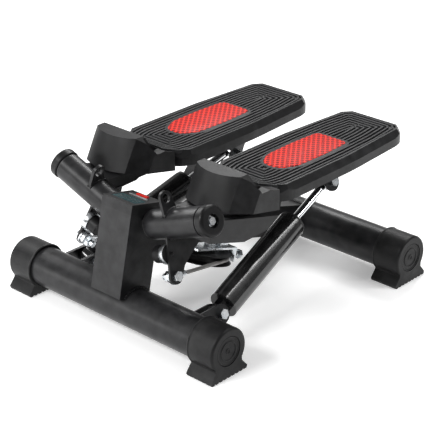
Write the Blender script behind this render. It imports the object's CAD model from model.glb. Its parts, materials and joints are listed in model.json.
import json
import math

import bmesh
import bpy
from mathutils import Matrix, Vector


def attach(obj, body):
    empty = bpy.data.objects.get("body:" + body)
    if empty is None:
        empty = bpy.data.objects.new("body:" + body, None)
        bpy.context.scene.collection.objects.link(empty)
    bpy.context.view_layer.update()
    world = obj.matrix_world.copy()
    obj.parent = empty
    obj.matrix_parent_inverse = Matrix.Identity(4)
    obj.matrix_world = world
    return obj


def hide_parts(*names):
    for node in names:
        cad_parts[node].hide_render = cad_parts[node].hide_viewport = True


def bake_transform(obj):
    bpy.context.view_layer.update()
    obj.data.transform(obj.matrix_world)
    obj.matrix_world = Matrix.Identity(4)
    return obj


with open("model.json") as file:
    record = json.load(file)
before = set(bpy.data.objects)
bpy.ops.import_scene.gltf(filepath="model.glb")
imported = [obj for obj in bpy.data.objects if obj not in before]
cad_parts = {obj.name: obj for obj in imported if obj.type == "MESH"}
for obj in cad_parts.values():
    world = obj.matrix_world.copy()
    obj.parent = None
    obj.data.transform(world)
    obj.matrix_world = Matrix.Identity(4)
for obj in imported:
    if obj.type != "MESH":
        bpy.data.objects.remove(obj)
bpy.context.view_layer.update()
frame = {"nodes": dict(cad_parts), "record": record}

SIDES = {"right": 1, "left": -1}

# Sizes shared with the CAD, in metres and degrees
AXLE_Y = -0.149925
AXLE_Z = 0.1244
AXLE_TILT = 20
SLEEVE_R = 0.018
TUBE_Y = -0.178425
REAR_Y = 0.142575
TUBE_Z = 0.034
TUBE_R = 0.025
POST_LEAN = 13.5
POST_FRONT = -0.029
POST_W = 0.050
POST_D = 0.049
BEAM_TILT = 17
BEAM_W = 0.040
ARM_TOP = 0.163
ARM_SPAN = (0.058, 0.112)
PEDAL_X = 0.079
PEDAL_Z = 0.176
PEDAL_W = 0.115
PEDAL_REACH = 0.358
SCOOP_MIDDLE = 0.110
SCOOP_R = 0.048
PULLEY = (0, -0.042925, 0.04737)
CABLE_TILT = 18.5
GROOVE_R = 0.036
CABLE_R = 0.0025
ANCHOR = (0.058, -0.014, -0.060)
FERRULE_END = 0.0303
HOOK_MIDDLE = 0.072
BUMPER = (-0.012, -0.033)
FRONT_WIDTH = 0.354
REAR_WIDTH = 0.380
CAP_L = 0.0395
CAP_R = 0.0281
DISPLAY_Y = -0.0105
DISPLAY_Z = 0.1298
DIGIT_PITCH = 0.0085
DIGIT_W = 0.0055
DIGIT_H = 0.0105

# The mat and the red pad, which the CAD keeps as plain slabs; heights are from the tray's rim
MAT_FRONT = 0.082
MAT_INSET = 0.0079
MAT_STEP = 0.0022
MAT_STEP_LENGTH = 0.008
MAT_FLOOR = -0.0018
MAT_BOTTOM = -0.004
MAT_STATION = 0.0015
MAT_STATIONS = 24
RIDGE_PITCH = 0.0060
RIDGE_W = 0.0036
RIDGE_H = 0.0024
RIDGE_MARGIN = 0.0008
RIDGE_BEVEL = 0.0008
RIDGE_BEVEL_DROP = 0.0003
RIDGE_SUNK = 0.0005
SHORTEST_SIDE = 0.0004
PAD_HALF = [(0.013, 0.148), (0.0255, 0.170), (0.027, 0.218), (0.0245, 0.265)]
PAD_SHIFT = Vector((0.003, 0))
PAD_CORNER = 0.009
CORNER_STEPS = 8

# Profiles of the pad and of the rim round it: (outwards from the pad's outline, height)
PAD_PROFILE = ((0, -0.004), (0, 0.0004), (-0.0004, 0.0009), (-0.0012, 0.0012))
RIM_PROFILE = ((0.0002, -0.003), (0.0002, 0.0001), (0.0006, 0.0005), (0.0030, 0.0006), (0.0044, 0.0),
               (0.0048, -0.003))

# Profiles of the turned pieces on the lever: (distance along the axle, radius)
BUMPER_CUP = ((0.0618, 0.0117), (0.0618, 0.0126), (0.0560, 0.0126), (0.0546, 0.0118), (0.0546, 0.0107),
              (0.0585, 0.0107))
BUMPER_SCREW_HEAD = ((0.0648, 0.0024), (0.0662, 0.0024), (0.0668, 0.0018), (0.0669, 0.0010))

# Rings in a foot's end: (radius, half the ring's width), and how deep their parts lie in the end
FOOT_RINGS = ((0.0172, 0.0013), (0.0118, 0.0010), (0.0030, 0.0012))
RING_TOP = 0.0004
RING_SHOULDER = 0.0006
RING_ROOT = 0.0014

# Profile of the lip at a foot's open end: (past the end, outside the foot's radius)
FOOT_LIP = ((0.0002, -0.001), (0.0002, 0.0003), (-0.0010, 0.0008), (-0.0024, 0.0003), (-0.0024, -0.001))

# The five strokes of a blank digit, each by two corners, where the digit runs from -1 to 1 both ways
DIGIT_STROKES = (((-1, -1), (-0.7, 1)), ((0.7, -1), (1, 1)), ((-1, 0.85), (1, 1)),
                 ((-1, -1), (1, -0.85)), ((-1, -0.07), (1, 0.07)))
DIGIT_COUNT = 4
DIGIT_LIFT = 0.0001

# Weld beads: their radii and lifts, where they start and end in degrees, and how finely they are divided
BASE_BEAD_R = 0.0019
SMALL_BEAD_R = 0.0013
BASE_BEAD_LIFT = 0.0004
PEDAL_BEAD_LIFT = 0.0002
BEAD_STEP = 0.0009
POST_BEAD_START = 145
BEAM_BEAD = (128, 232)
LEVER_BEAD_AT = 0.0652
LEVER_BEAD = (-118, 4)
HOOK_BEAD_OFF = 0.0021
HOOK_BEAD = (52, 142)
ARM_BEAD_STEPS = 20
CABLE_STEPS = 24

# Angles, in degrees, past which an edge is rounded or drawn sharp
ROUNDED_FROM = 35
SHARP_FROM = 40

# Sockets of a Blender mix node in its colour mode
MIX_FIRST, MIX_SECOND, MIX_RESULT = 6, 7, 2


# ---------- camera, floor and light ----------
def add_camera():
    """The view from in front of the machine, to its right and above it."""
    place = (1.171784, -1.221756, 0.891481)
    right = Vector((0.72356, 0.69002, -0.01824))
    up = Vector((-0.28508, 0.32280, 0.90251))
    data = bpy.data.cameras.new("camera")
    data.lens = 124.4
    data.sensor_width = 36
    data.clip_end = 20
    camera = bpy.data.objects.new("camera", data)
    turn = Matrix((right, up, right.cross(up))).transposed()
    camera.matrix_world = Matrix.Translation(place) @ turn.to_4x4()
    bpy.context.collection.objects.link(camera)
    bpy.context.scene.camera = camera


def add_light(name, place, size, power):
    """A soft rectangular light that faces the middle of the machine."""
    middle = Vector((0, 0, 0.08))
    data = bpy.data.lights.new(name, "AREA")
    data.shape = "RECTANGLE"
    data.size, data.size_y = size
    data.energy = power
    light = bpy.data.objects.new(name, data)
    light.location = place
    light.rotation_euler = (middle - Vector(place)).to_track_quat("-Z", "Y").to_euler()
    bpy.context.collection.objects.link(light)


def add_studio():
    """A pale floor that runs out of sight, a pale world and soft lights all round."""
    mesh = bpy.data.meshes.new("floor")
    reach = 6
    corners = [(-reach, -reach, 0), (reach, -reach, 0), (reach, reach, 0), (-reach, reach, 0)]
    mesh.from_pydata(corners, [], [(0, 1, 2, 3)])
    floor = bpy.data.objects.new("floor", mesh)
    bpy.context.collection.objects.link(floor)
    paint = bpy.data.materials.new("floor_paint")
    paint.use_nodes = True
    shader = paint.node_tree.nodes["Principled BSDF"]
    shader.inputs["Base Color"].default_value = (0.95, 0.95, 0.95, 1)
    shader.inputs["Roughness"].default_value = 0.8
    shader.inputs["Emission Color"].default_value = (1, 1, 1, 1)
    shader.inputs["Emission Strength"].default_value = 0.30
    mesh.materials.append(paint)

    world = bpy.data.worlds.new("studio")
    world.use_nodes = True
    sky = world.node_tree.nodes["Background"]
    sky.inputs["Color"].default_value = (1, 1, 1, 1)
    sky.inputs["Strength"].default_value = 0.27
    bpy.context.scene.world = world
    bpy.context.scene.view_settings.view_transform = "Standard"

    add_light("key", (-0.3, -1.5, 1.3), (0.8, 0.5), 26)
    add_light("low_front", (-1.2, -1.5, 0.35), (0.9, 0.5), 7)
    add_light("left", (-1.6, 0.0, 0.95), (0.9, 0.5), 12)
    add_light("strip", (0.85, 0.70, 1.45), (0.16, 1.3), 11)
    add_light("back", (-0.7, 1.3, 1.5), (1.2, 0.5), 30)


# ---------- materials ----------
class Surface:
    """A procedural material: a base finish, then grain, blotches and worn edges added to it."""

    def __init__(self, name, color, roughness, metallic=0.0, specular=0.5, coat=0.0):
        self.material = bpy.data.materials.new(name)
        self.material.use_nodes = True
        self.tree = self.material.node_tree
        self.shader = self.tree.nodes["Principled BSDF"]
        self.color = color
        self.roughness = roughness
        self.put("Base Color", (*color, 1))
        self.put("Roughness", roughness)
        self.put("Metallic", metallic)
        self.put("Specular IOR Level", specular)
        self.put("Coat Weight", coat)
        self.put("Coat Roughness", 0.12)
        self.place = self.add("ShaderNodeTexCoord").outputs["Object"]
        self.height = None

    def put(self, socket, value):
        self.shader.inputs[socket].default_value = value

    def add(self, kind, **values):
        node = self.tree.nodes.new(kind)
        for name, value in values.items():
            if name in node.inputs:
                node.inputs[name].default_value = value
            else:
                setattr(node, name, value)
        return node

    def link(self, source, target):
        self.tree.links.new(source, target)

    def noise(self, scale, detail=3, stretch=(1, 1, 1)):
        """Noise over the object, stretched along an axis where a factor is below one."""
        mapping = self.add("ShaderNodeMapping", Scale=stretch)
        self.link(self.place, mapping.inputs["Vector"])
        noise = self.add("ShaderNodeTexNoise", Scale=scale, Detail=detail)
        self.link(mapping.outputs["Vector"], noise.inputs["Vector"])
        return noise.outputs["Fac"]

    def remap(self, value, span, result, **settings):
        """A value that runs over the span, turned into one that runs over the result."""
        ramp = self.add("ShaderNodeMapRange", **settings)
        for name, number in zip(("From Min", "From Max", "To Min", "To Max"), (*span, *result)):
            ramp.inputs[name].default_value = number
        self.link(value, ramp.inputs["Value"])
        return ramp.outputs["Result"]

    def spread(self, value, low, high):
        """The middle range of noise, stretched to run from low to high."""
        return self.remap(value, (0.3, 0.7), (low, high))

    def vary(self, amount, scale=14, stretch=(1, 1, 1)):
        """Roughness that changes gently from place to place, as handled surfaces do."""
        blotch = self.noise(scale, 4, stretch)
        self.link(self.spread(blotch, self.roughness - amount, self.roughness + amount),
                  self.shader.inputs["Roughness"])
        return self

    def tint(self, other, low=0.0, high=0.6, scale=9):
        """Colour that drifts towards another one in soft patches."""
        return self.mix_colors(self.spread(self.noise(scale, 5), low, high), self.color, other)

    def mix_colors(self, share, first, second):
        """Makes the colour run from the first to the second; a colour is numbers or a node's output."""
        mix = self.add("ShaderNodeMix", data_type="RGBA")
        self.link(share, mix.inputs["Factor"])
        for socket, color in ((MIX_FIRST, first), (MIX_SECOND, second)):
            if isinstance(color, tuple):
                mix.inputs[socket].default_value = (*color, 1)
            else:
                self.link(color, mix.inputs[socket])
        self.color = mix.outputs[MIX_RESULT]
        self.link(self.color, self.shader.inputs["Base Color"])
        return self

    def grain(self, scale, strength, depth=0.0002, detail=2, stretch=(1, 1, 1)):
        """Fine relief in the surface."""
        self.relief(self.noise(scale, detail, stretch), strength, depth)
        return self

    def relief(self, height, strength, depth):
        """Adds a height to the relief that the surface already has."""
        bump = self.add("ShaderNodeBump", Strength=strength, Distance=depth)
        self.link(height, bump.inputs["Height"])
        if self.height:
            self.link(self.height, bump.inputs["Normal"])
        self.height = bump.outputs["Normal"]
        self.link(self.height, self.shader.inputs["Normal"])

    def dimples(self, color, pitch, radius):
        """Round hollows on two staggered grids seen from above; the radius is a share of the pitch."""
        near = []
        rows = (1 / pitch, 0.8 / pitch, 0)
        for shift in (0.0, 0.5):
            mapping = self.add("ShaderNodeMapping", Location=(shift, shift, 0), Scale=rows)
            self.link(self.place, mapping.inputs["Vector"])
            cell = self.add("ShaderNodeVectorMath", operation="FRACTION")
            self.link(mapping.outputs["Vector"], cell.inputs[0])
            middle = self.add("ShaderNodeVectorMath", operation="DISTANCE")
            middle.inputs[1].default_value = (0.5, 0.5, 0)
            self.link(cell.outputs["Vector"], middle.inputs[0])
            near.append(middle.outputs["Value"])
        nearest = self.add("ShaderNodeMath", operation="MINIMUM")
        for socket, value in zip(nearest.inputs, near):
            self.link(value, socket)
        edge = (radius * 0.75, radius)
        hollow = self.remap(nearest.outputs["Value"], edge, (0, 1), interpolation_type="SMOOTHSTEP")
        self.relief(hollow, 0.8, 0.0008)
        return self.mix_colors(hollow, color, self.color)

    def wear(self, edge_color, amount=0.6, sharp=0.53):
        """Edges rubbed towards a lighter colour, broken up by noise."""
        point = self.add("ShaderNodeNewGeometry").outputs["Pointiness"]
        broken = self.add("ShaderNodeMath", operation="MULTIPLY")
        self.link(self.remap(point, (sharp, sharp + 0.09), (0, amount)), broken.inputs[0])
        self.link(self.spread(self.noise(70, 4), 0.1, 1), broken.inputs[1])
        return self.mix_colors(broken.outputs["Value"], self.color, edge_color)


def powder_coat():
    """Satin black powder coat over steel, with its orange-peel skin."""
    surface = Surface("powder_coat", (0.004, 0.004, 0.0045), 0.36, specular=0.25)
    surface.tint((0.006, 0.006, 0.0065), scale=160).vary(0.025, 40)
    return surface.grain(900, 0.12, 0.0003).wear((0.04, 0.04, 0.042), 0.5)


def moulded_plastic():
    """Black moulded plastic with a spark-eroded grain."""
    surface = Surface("moulded_plastic", (0.004, 0.004, 0.0043), 0.40, specular=0.22)
    surface.tint((0.0055, 0.0055, 0.006), scale=120).vary(0.03, 30)
    return surface.grain(1500, 0.2, 0.0003, 4).wear((0.04, 0.04, 0.042), 0.5)


def foot_rubber():
    """Matt rubber of the feet and bumpers, a little chalky on its edges."""
    surface = Surface("foot_rubber", (0.005, 0.005, 0.0055), 0.45, specular=0.2)
    surface.tint((0.008, 0.008, 0.0085), scale=90).vary(0.04, 40)
    return surface.grain(1100, 0.25, 0.0004, 5).wear((0.04, 0.04, 0.04), 0.6)


def tread_rubber():
    """Grey-black tread rubber, with dust caught on the tops of its ridges."""
    surface = Surface("tread_rubber", (0.009, 0.009, 0.010), 0.5, specular=0.22)
    surface.tint((0.013, 0.013, 0.014), scale=80).vary(0.04, 40)
    return surface.grain(1300, 0.4, 0.0003, 5).wear((0.05, 0.05, 0.052), 0.7)


def red_rubber():
    """Soft red rubber with staggered rows of darker dimples."""
    surface = Surface("red_rubber", (0.74, 0.026, 0.014), 0.5, specular=0.15)
    return surface.vary(0.08, 30).dimples((0.20, 0.002, 0.002), 0.0076, 0.31).grain(1400, 0.3, 0.0003, 4)


def bright_zinc():
    """Zinc plate: bright, with faint blue and yellow patches and fine scratches."""
    surface = Surface("bright_zinc", (0.68, 0.70, 0.72), 0.26, metallic=1.0)
    surface.tint((0.52, 0.58, 0.62), scale=60).vary(0.09, 90)
    return surface.grain(420, 0.2, 0.0002, 3, (1, 0.15, 1)).wear((0.9, 0.9, 0.9), 0.5)


def hard_chrome():
    """Polished damper rod with lengthwise wipe marks from its seal."""
    surface = Surface("hard_chrome", (0.78, 0.79, 0.80), 0.09, metallic=1.0)
    return surface.vary(0.04, 120, (1, 0.05, 0.3)).grain(700, 0.06, 0.0001, 2, (1, 0.05, 0.3))


def gloss_black():
    """Deep black enamel on the damper barrels."""
    surface = Surface("gloss_black", (0.002, 0.002, 0.0025), 0.17, specular=0.5, coat=0.4)
    return surface.vary(0.015, 60).grain(500, 0.03, 0.0001).wear((0.05, 0.05, 0.05), 0.5)


def dark_nylon():
    """Nylon of the bushes, gland and pulley, lightly turned."""
    surface = Surface("dark_nylon", (0.010, 0.010, 0.0105), 0.42, specular=0.3)
    surface.tint((0.016, 0.016, 0.017), scale=40).vary(0.08, 40)
    return surface.grain(800, 0.3, 0.0002).wear((0.1, 0.1, 0.1), 0.5)


def cable_sheath():
    """Grey plastic sheath, with the strands of the cable showing through as a slow twist."""
    surface = Surface("cable_sheath", (0.30, 0.29, 0.28), 0.38)
    surface.tint((0.22, 0.21, 0.20), scale=50).vary(0.08, 60)
    return surface.grain(500, 0.25, 0.0002, 2, (1, 1, 0.4))


def display_glass():
    """Teal window of the step counter under clear plastic."""
    surface = Surface("display_glass", (0.030, 0.062, 0.068), 0.12, specular=0.4, coat=0.3)
    return surface.tint((0.045, 0.085, 0.09), scale=60).vary(0.03, 50).grain(300, 0.03, 0.0001)


def silver_print():
    """Brushed silver strip."""
    surface = Surface("silver_print", (0.62, 0.63, 0.65), 0.3, metallic=0.9)
    return surface.vary(0.08, 300, (0.05, 1, 1)).grain(1500, 0.2, 0.0001, 2, (0.05, 1, 1))


def red_plastic():
    """Glossy red button."""
    surface = Surface("red_plastic", (0.60, 0.025, 0.018), 0.22, coat=0.3)
    return surface.vary(0.05, 80).grain(600, 0.1, 0.0001)


def board_green():
    """Lacquered circuit board."""
    surface = Surface("board_green", (0.03, 0.16, 0.06), 0.35)
    return surface.tint((0.02, 0.10, 0.04), scale=200).vary(0.1, 150).grain(900, 0.2, 0.0001)


SLOT_FINISH = {
    "black_steel": powder_coat, "black_rubber": foot_rubber, "red_rubber": red_rubber,
    "black_plastic": moulded_plastic, "grey_nylon": dark_nylon, "pulley_nylon": dark_nylon,
    "zinc": bright_zinc, "chrome": hard_chrome, "damper_black": gloss_black,
    "damper_gland": dark_nylon, "cable_sheath": cable_sheath, "display": display_glass,
    "silver_print": silver_print, "red_button": red_plastic, "circuit_board": board_green,
    "battery_steel": bright_zinc, "sensor_plastic": dark_nylon,
}
finished = {}


def finish_of(make):
    """The material that a finish makes, made once."""
    if make not in finished:
        finished[make] = make().material
    return finished[make]


SOFT_EDGED = ("_tray", "_arm", "_lever", "_post", "_foot", "_barrel", "_beam", "_housing", "_hook")
SOFT_EDGE = 0.0006


def soften_edges(piece, width, segments=2):
    """A small round on sharp edges, so that they catch the light."""
    bevel = piece.modifiers.new("edge_round", "BEVEL")
    bevel.width = width
    bevel.segments = segments
    bevel.limit_method = "ANGLE"
    bevel.angle_limit = math.radians(ROUNDED_FROM)
    bevel.use_clamp_overlap = True
    bevel.harden_normals = True


def dress_cad_nodes():
    """Every CAD node gets its slot's finish."""
    slots = {part["node"]: part["material_slot"] for part in frame["record"]["subparts"]}
    for name, piece in frame["nodes"].items():
        material = finish_of(SLOT_FINISH[slots[name]])
        for place in piece.material_slots:
            place.material = material
        if name.endswith(SOFT_EDGED):
            soften_edges(piece, SOFT_EDGE)


# ---------- shapes ----------
def turned(point, place, degrees):
    """A point of a frame that stands at the place and leans back by the angle about X."""
    c, s = math.cos(math.radians(degrees)), math.sin(math.radians(degrees))
    x, y, z = point
    return Vector((x + place[0], place[1] + c * y + s * z, place[2] - s * y + c * z))


def on_axle(along, back, above, side=1):
    """A point measured along the axle, behind it and square above it."""
    c, s = math.cos(math.radians(AXLE_TILT)), math.sin(math.radians(AXLE_TILT))
    return Vector((side * (along * c - above * s), AXLE_Y + back, AXLE_Z + along * s + above * c))


def on_post(x, y, z):
    """A point measured from the front tube's middle, in the leaning post's frame."""
    return turned((x, y, z), (0, TUBE_Y, TUBE_Z), POST_LEAN)


def on_beam(x, y, z):
    """A point measured from the rear tube's middle, in the sloping beam's frame."""
    return turned((x, y, z), (0, REAR_Y, TUBE_Z), BEAM_TILT)


def on_pulley(x, y, z):
    """A point measured from the pulley's middle, in the plane of the cable."""
    return turned((x, y, z), PULLEY, CABLE_TILT)


def add_piece(name, mesh_data, body, finish, smooth=True):
    """Turns bmesh data into a piece that rides on a CAD body."""
    bmesh.ops.recalc_face_normals(mesh_data, faces=mesh_data.faces)
    mesh = bpy.data.meshes.new(name)
    mesh_data.to_mesh(mesh)
    mesh_data.free()
    mesh.materials.append(finish_of(finish))
    if smooth:
        mesh.shade_smooth()
        mesh.set_sharp_from_angle(angle=math.radians(SHARP_FROM))
    piece = bpy.data.objects.new(name, mesh)
    bpy.context.collection.objects.link(piece)
    if body:
        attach(piece, body)
    return piece


def skin_loops(mesh_data, loops, closed=False):
    """Faces between rings of points; the ends are capped unless the last ring joins the first."""
    rings = [[mesh_data.verts.new(point) for point in loop] for loop in loops]
    pairs = list(zip(rings, rings[1:])) + ([(rings[-1], rings[0])] if closed else [])
    for low, high in pairs:
        for i in range(len(low)):
            j = (i + 1) % len(low)
            mesh_data.faces.new((low[i], low[j], high[j], high[i]))
    if not closed:
        mesh_data.faces.new(rings[0])
        mesh_data.faces.new(rings[-1])


def tube_loops(path, radii, sides=12, closed=False):
    """Rings of points round a path, each with its own radius."""
    loops = []
    side_way = None
    count = len(path)
    for i, point in enumerate(path):
        before = path[i - 1] if i or closed else path[0]
        after = path[(i + 1) % count] if i + 1 < count or closed else path[-1]
        along = (after - before).normalized()
        side_way = along.orthogonal() if side_way is None else side_way - along * side_way.dot(along)
        side_way.normalize()
        other = along.cross(side_way)
        turns = [2 * math.pi * k / sides for k in range(sides)]
        loops.append([point + radii[i] * (math.cos(a) * side_way + math.sin(a) * other) for a in turns])
    return loops


def stepped(points, step):
    """The same path with extra points, none further apart than the step."""
    path = [points[0]]
    for a, b in zip(points, points[1:]):
        count = max(1, round((b - a).length / step))
        path += [a.lerp(b, k / count) for k in range(1, count + 1)]
    return path


# ---------- pedals ----------
def tray_corners():
    """Corners of the mat's outline from above: (distance from the pedal's middle, behind the axle)."""
    half = [(0.35 * PEDAL_W, MAT_FRONT), (0.47 * PEDAL_W, 0.108), (PEDAL_W / 2, 0.126),
            (PEDAL_W / 2, PEDAL_REACH - 0.12), (0.48 * PEDAL_W, PEDAL_REACH - 0.06),
            (0.43 * PEDAL_W, PEDAL_REACH - 0.014), (0.33 * PEDAL_W, PEDAL_REACH)]
    return [Vector(p) for p in half + [(-x, y) for x, y in reversed(half)]]


def crossings(lines, back=0.0):
    """Where each side crosses the one before it, with all sides moved back out by a distance."""
    points = []
    for (n, c), (m, d) in zip(lines[-1:] + lines[:-1], lines):
        c, d = c - back, d - back
        det = n.x * m.y - n.y * m.x
        points.append(Vector(((c * m.y - d * n.y) / det, (n.x * d - m.x * c) / det)))
    return points


def sides_of(corners, distance=0.0):
    """An outline's sides moved inwards, each as its inward direction and how far along that it lies."""
    lines = []
    for a, b in zip(corners, corners[1:] + corners[:1]):
        inward = Vector((a.y - b.y, b.x - a.x)).normalized()
        lines.append((inward, inward.dot(a) + distance))
    return lines


def inset_lines(distance):
    """The tray outline's sides moved inwards, without those that have shrunk to nothing."""
    lines = sides_of(tray_corners(), distance)
    while True:
        points = crossings(lines)
        ends = points[1:] + points[:1]
        kept = [line for line, a, b in zip(lines, points, ends)
                if (b - a).dot(Vector((line[0].y, -line[0].x))) > SHORTEST_SIDE]
        if len(kept) == len(lines) or len(kept) < 3:
            return kept
        lines = kept


def mat_height(back):
    """Height that the mat lies by: level with the tray's rim, then up the scoop of the toe guard."""
    if back >= SCOOP_MIDDLE:
        return PEDAL_Z
    climb = SCOOP_R - math.sqrt(SCOOP_R ** 2 - (SCOOP_MIDDLE - back) ** 2)
    return PEDAL_Z + climb + MAT_STEP * min(1, (SCOOP_MIDDLE - back) / MAT_STEP_LENGTH)


def on_mat(side, point, lift):
    """A point of an outline, placed on the pedal and lifted from the tray's rim or its scoop."""
    return Vector((side * (PEDAL_X + point.x), AXLE_Y + point.y, mat_height(point.y) + lift))


def divided(points, count=6):
    """A closed outline with each side cut into the same number of steps."""
    return [a.lerp(b, k / count) for a, b in zip(points, points[1:] + points[:1]) for k in range(count)]


def mat_sections(side):
    """Outlines across the mat's thin sheet, close together where it climbs the toe guard."""
    right_half = sorted((p.y, p.x) for p in crossings(inset_lines(MAT_INSET)) if p.x > 0)
    first = right_half[0][0]
    climb = [first + MAT_STATION * i for i in range(MAT_STATIONS)]
    flat = [y for y, _ in right_half if y > first + MAT_STATION * MAT_STATIONS]
    sections = []
    for y in climb + flat:
        near = max((p for p in right_half if p[0] <= y), default=right_half[0])
        far = min((p for p in right_half if p[0] > y), default=right_half[-1])
        share = (y - near[0]) / (far[0] - near[0]) if far[0] > near[0] else 0
        wide = near[1] + (far[1] - near[1]) * share
        box = ((-wide, MAT_FLOOR), (wide, MAT_FLOOR), (wide, MAT_BOTTOM), (-wide, MAT_BOTTOM))
        sections.append([on_mat(side, Vector((x, y)), lift) for x, lift in box])
    return sections


def ridge_profile():
    """A ridge's profile with bevelled top edges: (across it, height)."""
    top = MAT_FLOOR + RIDGE_H
    half = [(0, MAT_FLOOR - RIDGE_SUNK), (RIDGE_BEVEL / 2, top - RIDGE_BEVEL_DROP), (RIDGE_BEVEL, top)]
    return [(RIDGE_W - at, lift) for at, lift in half] + half[::-1]


def add_mat(side_name, side):
    """Rubber mat: a thin sheet that climbs the toe guard, with rings of ridges all the way in."""
    data = bmesh.new()
    skin_loops(data, mat_sections(side))
    rings = int(PEDAL_W / 2 / RIDGE_PITCH) - 1
    for k in range(rings):
        lines = inset_lines(MAT_INSET + RIDGE_MARGIN + k * RIDGE_PITCH + RIDGE_W)
        if len(lines) < 3:
            break
        skin_loops(data, [[on_mat(side, p, lift) for p in divided(crossings(lines, RIDGE_W - at))]
                          for at, lift in ridge_profile()], closed=True)
    mat = add_piece(side_name + "_mat", data, side_name + "_pedal", tread_rubber)
    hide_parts(side_name + "_tread")


def pad_loop(side, grow, lift):
    """The pad's outline with rounded corners, moved outwards, at a height above the tray's rim."""
    corners = [Vector(p) for p in PAD_HALF + [(-x, y) for x, y in reversed(PAD_HALF)]]
    grown = crossings(sides_of(corners), grow)
    points = []
    for a, b, c in zip(grown[-1:] + grown[:-1], grown, grown[1:] + grown[:1]):
        reach = [min(PAD_CORNER + grow, (end - b).length / 2) for end in (a, c)]
        p, q = (b + (end - b).normalized() * r for end, r in zip((a, c), reach))
        shares = [k / CORNER_STEPS for k in range(CORNER_STEPS + 1)]
        points += [p.lerp(b, share).lerp(b.lerp(q, share), share) for share in shares]
    return [on_mat(side, point + PAD_SHIFT, lift) for point in points]


def add_pad(side_name, side):
    """Red pad with a rounded top edge, inside a smooth raised rim of the mat."""
    data = bmesh.new()
    skin_loops(data, [pad_loop(side, *ring) for ring in PAD_PROFILE])
    pad = add_piece(side_name + "_red_pad", data, side_name + "_pedal", red_rubber)
    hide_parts(side_name + "_pad")
    data = bmesh.new()
    skin_loops(data, [pad_loop(side, *ring) for ring in RIM_PROFILE], closed=True)
    add_piece(side_name + "_pad_rim", data, side_name + "_pedal", tread_rubber)


# ---------- cable ----------
def cable_run():
    """Where the right run leaves the pulley, and where its ferrule starts, from the lever's anchor."""
    anchor = on_axle(*ANCHOR)
    flat = Vector((anchor.x, (anchor.y - PULLEY[1]) / math.cos(math.radians(CABLE_TILT))))
    turn = math.atan2(flat.y, flat.x) + math.acos(GROOVE_R / flat.length)
    start = on_pulley(GROOVE_R * math.cos(turn), GROOVE_R * math.sin(turn), 0)
    return turn, start, anchor - (anchor - start).normalized() * FERRULE_END


def add_cable():
    """Three lengths: one round the pulley, and a run to each lever that bends with its pedal."""
    turn, start, end = cable_run()
    steps = [turn + (math.pi - 2 * turn) * k / CABLE_STEPS for k in range(CABLE_STEPS + 1)]
    path = [on_pulley(GROOVE_R * math.cos(a), GROOVE_R * math.sin(a), 0) for a in steps]
    wrap = add_tube("cable_wrap", path, CABLE_R, "root", cable_sheath)
    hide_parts("steel_cable")
    for side_name, side in SIDES.items():
        flip = Vector((side, 1, 1))
        ends = [point * flip for point in (start, end)]
        path = [ends[0].lerp(ends[1], k / CABLE_STEPS) for k in range(CABLE_STEPS + 1)]
        run = add_tube(side_name + "_cable_run", path, CABLE_R, None, cable_sheath)
        tuple(ends[0])
        tuple(ends[1])
        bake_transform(run)


def add_tube(name, path, radius, body, finish):
    """A round tube along a path."""
    data = bmesh.new()
    skin_loops(data, tube_loops(path, [radius] * len(path)))
    return add_piece(name, data, body, finish)


# ---------- small metal pieces ----------
def add_weld(name, points, body, radius=BASE_BEAD_R):
    """A bead along a path, with a quick ripple and a slow one in its thickness."""
    path = stepped(points, BEAD_STEP)
    ripples = [0.16 * math.sin(i * 2.1) + 0.05 * math.sin(i * 0.7) for i in range(len(path))]
    radii = [radius * (1 + ripple) for ripple in ripples]
    data = bmesh.new()
    skin_loops(data, tube_loops(path, radii, 10))
    add_piece(name, data, body, powder_coat)


def arc(place, radius, first, last, count=24):
    """Points on an arc: place turns (cosine side, sine side) distances into a point."""
    turns = [math.radians(first + (last - first) * k / count) for k in range(count + 1)]
    return [place(radius * math.cos(a), radius * math.sin(a)) for a in turns]


def add_base_welds():
    """Beads where the post and the beam meet the cross tubes and each other."""
    over = TUBE_R + BASE_BEAD_LIFT
    half = POST_W / 2
    back = POST_FRONT + POST_D
    rise = math.sqrt(over ** 2 - back ** 2)
    low = math.degrees(math.atan2(rise, back))
    for side_name, side in SIDES.items():
        post_bead = arc(lambda c, s: on_post(side * half, c, s), over, POST_BEAD_START, low)
        add_weld("post_weld_" + side_name, post_bead, "root")
        beam_bead = arc(lambda c, s: on_beam(side * BEAM_W / 2, c, s), over, *BEAM_BEAD)
        add_weld("beam_weld_" + side_name, beam_bead, "root")
    add_weld("post_weld_back", [on_post(-half, back, rise), on_post(half, back, rise)], "root")
    set_back = -math.sqrt(over ** 2 - (BEAM_W / 2) ** 2)
    ends = [on_beam(side * BEAM_W / 2, set_back, BEAM_W / 2) for side in (-1, 1)]
    add_weld("beam_weld_top", ends, "root")
    corners = []
    for x, z in ((-1, 1), (1, 1), (1, -1), (-1, -1), (-1, 1)):
        a, b = (on_beam(x * BEAM_W / 2, -reach, z * BEAM_W / 2) for reach in (0.2, 0.4))
        depth = [behind_post(point) for point in (a, b)]
        corners.append(a.lerp(b, depth[0] / (depth[0] - depth[1])))
    add_weld("beam_weld_post", corners, "root")


def behind_post(point):
    """Distance of a point behind the post's back face."""
    lean = math.radians(POST_LEAN)
    back = (point.y - TUBE_Y) * math.cos(lean) - (point.z - TUBE_Z) * math.sin(lean)
    return back - (POST_FRONT + POST_D)


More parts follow.
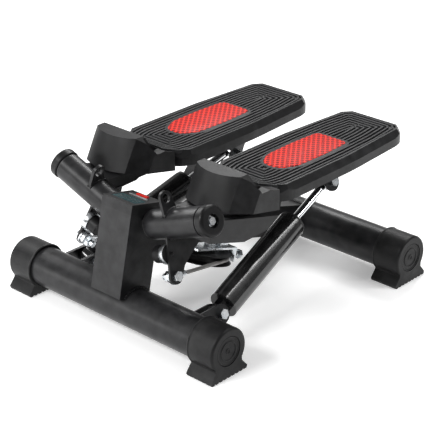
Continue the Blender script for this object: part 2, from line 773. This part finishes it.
def add_pedal_welds(side_name, side):
    """Beads that hold the lever, the band hook and the arm to the sleeve."""
    body = side_name + "_pedal"
    over = SLEEVE_R + PEDAL_BEAD_LIFT
    beads = (("lever_out", LEVER_BEAD_AT, LEVER_BEAD),
             ("hook_out", HOOK_MIDDLE + HOOK_BEAD_OFF, HOOK_BEAD),
             ("hook_in", HOOK_MIDDLE - HOOK_BEAD_OFF, HOOK_BEAD))
    for label, along, span in beads:
        path = arc(lambda c, s: on_axle(along, c, s, side), over, *span)
        add_weld(f"{side_name}_{label}_weld", path, body, SMALL_BEAD_R)
    seam = []
    tilt = math.radians(AXLE_TILT)
    for k in range(ARM_BEAD_STEPS + 1):
        x = ARM_SPAN[0] + (ARM_SPAN[1] - ARM_SPAN[0]) * k / ARM_BEAD_STEPS
        above = (ARM_TOP - AXLE_Z - x * math.tan(tilt)) * math.cos(tilt)
        seam.append(Vector((side * x, AXLE_Y + math.sqrt(max(over ** 2 - above ** 2, 0)), ARM_TOP)))
    add_weld(side_name + "_arm_weld", seam, body)


def add_turned(name, body, place, profile, finish, closed=True):
    """A piece turned about a line; place turns (along it, cosine side, sine side) into a point."""
    data = bmesh.new()
    loops = [arc(lambda c, s: place(along, c, s), radius, 0, 360, 48)[:-1] for along, radius in profile]
    skin_loops(data, loops, closed)
    add_piece(name, data, body, finish)


def add_lever_fittings(side_name, side):
    """Bright cup round the rubber stop, and the head of the stop's screw."""
    def place(along, c, s):
        return on_axle(along, BUMPER[0] + c, BUMPER[1] + s, side)
    body = side_name + "_pedal"
    add_turned(side_name + "_bumper_cup", body, place, BUMPER_CUP, bright_zinc)
    add_turned(side_name + "_bumper_screw_head", body, place, BUMPER_SCREW_HEAD,
               powder_coat, False)


def add_foot_rings():
    """Rounded rings in the sunk disc at the end of each foot, and a lip round its open edge."""
    for label, half_width, y in (("front", FRONT_WIDTH / 2, TUBE_Y), ("rear", REAR_WIDTH / 2, REAR_Y)):
        for side_name, side in SIDES.items():
            def place(along, c, s):
                return Vector((side * (half_width - along), y + c, TUBE_Z + s))
            foot = f"{label}_{side_name}_foot"
            for k, (radius, half) in enumerate(FOOT_RINGS):
                ring = ((RING_ROOT, radius + half), (RING_SHOULDER, radius + half / 2), (RING_TOP, radius),
                        (RING_SHOULDER, radius - half / 2), (RING_ROOT, radius - half))
                add_turned(f"{foot}_ring_{k}", "root", place, ring, foot_rubber)
            lip = [(CAP_L + along, CAP_R + out) for along, out in FOOT_LIP]
            add_turned(f"{foot}_lip", "root", place, lip, foot_rubber)


def add_display_marks():
    """Plain blank digits of the step counter's display, without a reading."""
    data = bmesh.new()
    for k in range(DIGIT_COUNT):
        x = (k - (DIGIT_COUNT - 1) / 2) * DIGIT_PITCH
        for low, high in DIGIT_STROKES:
            corners = [(low[0], low[1]), (high[0], low[1]), (high[0], high[1]), (low[0], high[1])]
            rings = [[on_post(x + a * DIGIT_W / 2, DISPLAY_Y + b * DIGIT_H / 2, DISPLAY_Z + lift)
                      for a, b in corners] for lift in (0, DIGIT_LIFT)]
            skin_loops(data, rings)
    add_piece("display_digits", data, "root", dark_nylon, smooth=False)


add_camera()
add_studio()
dress_cad_nodes()
add_cable()
add_base_welds()
add_foot_rings()
add_display_marks()
for name, way in SIDES.items():
    add_mat(name, way)
    add_pad(name, way)
    add_pedal_welds(name, way)
    add_lever_fittings(name, way)
